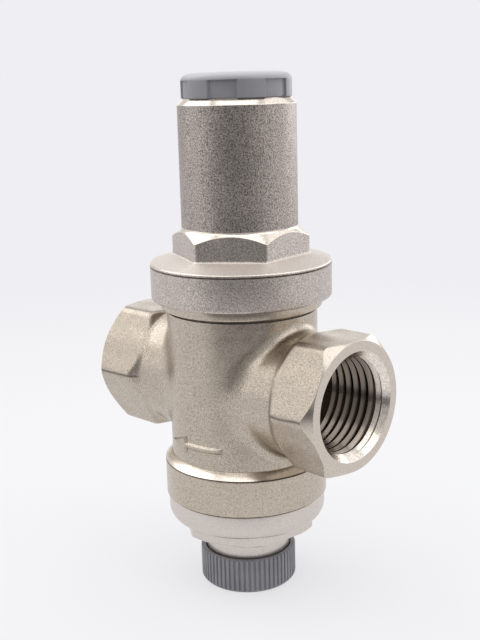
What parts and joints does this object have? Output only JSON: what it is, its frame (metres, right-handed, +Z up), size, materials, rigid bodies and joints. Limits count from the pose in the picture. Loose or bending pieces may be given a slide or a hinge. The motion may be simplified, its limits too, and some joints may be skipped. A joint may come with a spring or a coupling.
{
  "type": "pressure reducing valve",
  "caption": "Inline water pressure reducing valve: hexagon pipe ends on a round body, tall spring bonnet with a lobed cap, and a ribbed gauge cap below.",
  "frame": {"origin": "centre of the gauge cap's flat end, on the valve's axis, where the valve stands", "axes": "+Z up along the valve's axis from the gauge cap to the top cap; +X out of the inlet port, so water leaves through the port on the -X side"},
  "size_m": [0.0595, 0.0362, 0.1041],
  "materials": {
    "nickel_plated_brass": "nickel plated, forged skin with turned faces, satin",
    "blasted_nickel": "nickel plated over a shot-blasted skin, matt with a fine speckle",
    "bare_brass": "turned brass, semi-bright",
    "stainless_steel": "turned stainless steel",
    "spring_steel": "drawn spring wire",
    "black_rubber": "moulded nitrile rubber",
    "white_ptfe": "machined fluoroplastic",
    "grey_plastic": "moulded plastic, satin",
    "dark_grey_plastic": "moulded plastic, satin"
  },
  "bodies": {
    "valve": {"valve_body": "nickel_plated_brass", "seat_ring": "stainless_steel", "bonnet": "blasted_nickel", "bottom_plug": "nickel_plated_brass", "bottom_plug_seal": "black_rubber", "adjusting_spring": "spring_steel"},
    "piston": {"piston": "bare_brass", "piston_seal": "black_rubber", "piston_guide_band": "white_ptfe", "stem": "stainless_steel", "stem_nut": "stainless_steel", "gasket_clamp": "bare_brass", "seat_gasket": "black_rubber", "obturator": "bare_brass", "obturator_seal": "black_rubber"},
    "spring_washer": {"spring_washer": "stainless_steel"},
    "adjusting_nut": {"adjusting_nut": "bare_brass"},
    "top_cap_seal": {"top_cap_seal": "black_rubber"},
    "top_cap": {"top_cap": "grey_plastic"},
    "gauge_cap_washer": {"gauge_cap_washer": "black_rubber"},
    "gauge_cap": {"gauge_cap": "dark_grey_plastic"}
  },
  "joints": [
    {"name": "piston_travel", "type": "slide", "parent": "valve", "child": "piston", "axis": [0, 0, 1], "range_m": [0, 0.0025], "stiffness_N_per_m": 100, "springref_m": -0.002, "deforming": ["adjusting_spring"]},
    {"name": "spring_washer_travel", "type": "slide", "parent": "valve", "child": "spring_washer", "axis": [0, 0, 1], "range_m": [-0.004, 0.001], "deforming": ["adjusting_spring"]},
    {"name": "adjusting_nut_turn", "type": "hinge", "parent": "spring_washer", "child": "adjusting_nut", "pos_m": [0, 0, 0.0927], "axis": [0, 0, 1], "range_deg": [-959, 239]},
    {"name": "top_cap_travel", "type": "slide", "parent": "valve", "child": "top_cap_seal", "axis": [0, 0, 1], "range_m": [0, 0.0045]},
    {"name": "top_cap_turn", "type": "hinge", "parent": "top_cap_seal", "child": "top_cap", "pos_m": [0, 0, 0.0993], "axis": [0, 0, 1], "range_deg": [0, 1080]},
    {"name": "gauge_cap_travel", "type": "slide", "parent": "valve", "child": "gauge_cap_washer", "axis": [0, 0, 1], "range_m": [-0.00535, 0]},
    {"name": "gauge_cap_turn", "type": "hinge", "parent": "gauge_cap_washer", "child": "gauge_cap", "pos_m": [0, 0, 0.0039], "axis": [0, 0, 1], "range_deg": [-1440, 0]}
  ],
  "couplings": [
    {"joint": "spring_washer_travel", "follows": "adjusting_nut_turn", "m_per_rad": 0.00023873},
    {"joint": "top_cap_travel", "follows": "top_cap_turn", "m_per_rad": 0.00023873},
    {"joint": "gauge_cap_travel", "follows": "gauge_cap_turn", "m_per_rad": 0.00021279}
  ]
}
